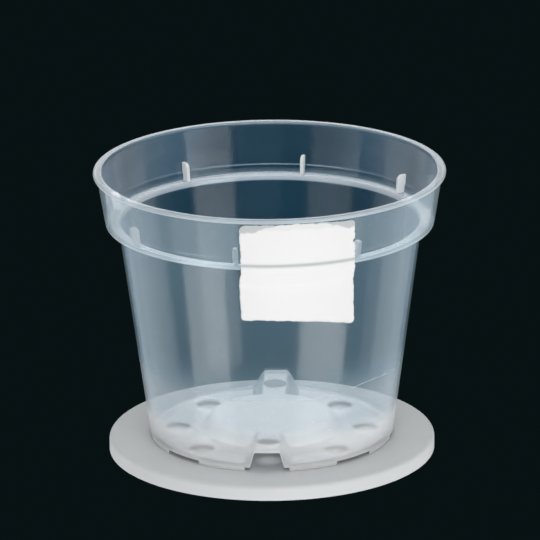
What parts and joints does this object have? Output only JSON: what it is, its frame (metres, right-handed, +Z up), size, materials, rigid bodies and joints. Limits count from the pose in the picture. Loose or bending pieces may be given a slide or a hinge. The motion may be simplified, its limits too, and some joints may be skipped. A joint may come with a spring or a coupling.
{
  "type": "flower pot",
  "caption": "Round tapered clear plastic nursery pot with a stacking collar, raised floor with drain holes and side drain notches, and a blank paper label.",
  "frame": {"origin": "centre of the footprint, on the surface that the pot stands on", "axes": "+Z up through the mouth; -Y the front, where the label and one drain notch are"},
  "size_m": [0.12, 0.12, 0.0945],
  "materials": {
    "clear_plastic": "clear polypropylene, slightly milky, glossy with moulding haze",
    "label_paper": "matte white paper, blank"
  },
  "bodies": {
    "root": {"rim_lip": "clear_plastic", "rim_collar": "clear_plastic", "stacking_ledge": "clear_plastic", "stacking_nib_1": "clear_plastic", "stacking_nib_2": "clear_plastic", "stacking_nib_3": "clear_plastic", "stacking_nib_4": "clear_plastic", "stacking_nib_5": "clear_plastic", "stacking_nib_6": "clear_plastic", "stacking_nib_7": "clear_plastic", "stacking_nib_8": "clear_plastic", "body_wall": "clear_plastic", "gutter_floor_left": "clear_plastic", "gutter_floor_right": "clear_plastic", "floor_plateau": "clear_plastic", "drain_hood_front": "clear_plastic", "drain_hood_back": "clear_plastic", "foot_pad_1": "clear_plastic", "foot_pad_2": "clear_plastic", "foot_pad_3": "clear_plastic", "foot_pad_4": "clear_plastic", "foot_pad_5": "clear_plastic", "foot_pad_6": "clear_plastic", "foot_pad_7": "clear_plastic", "foot_pad_8": "clear_plastic", "label": "label_paper"}
  },
  "joints": []
}
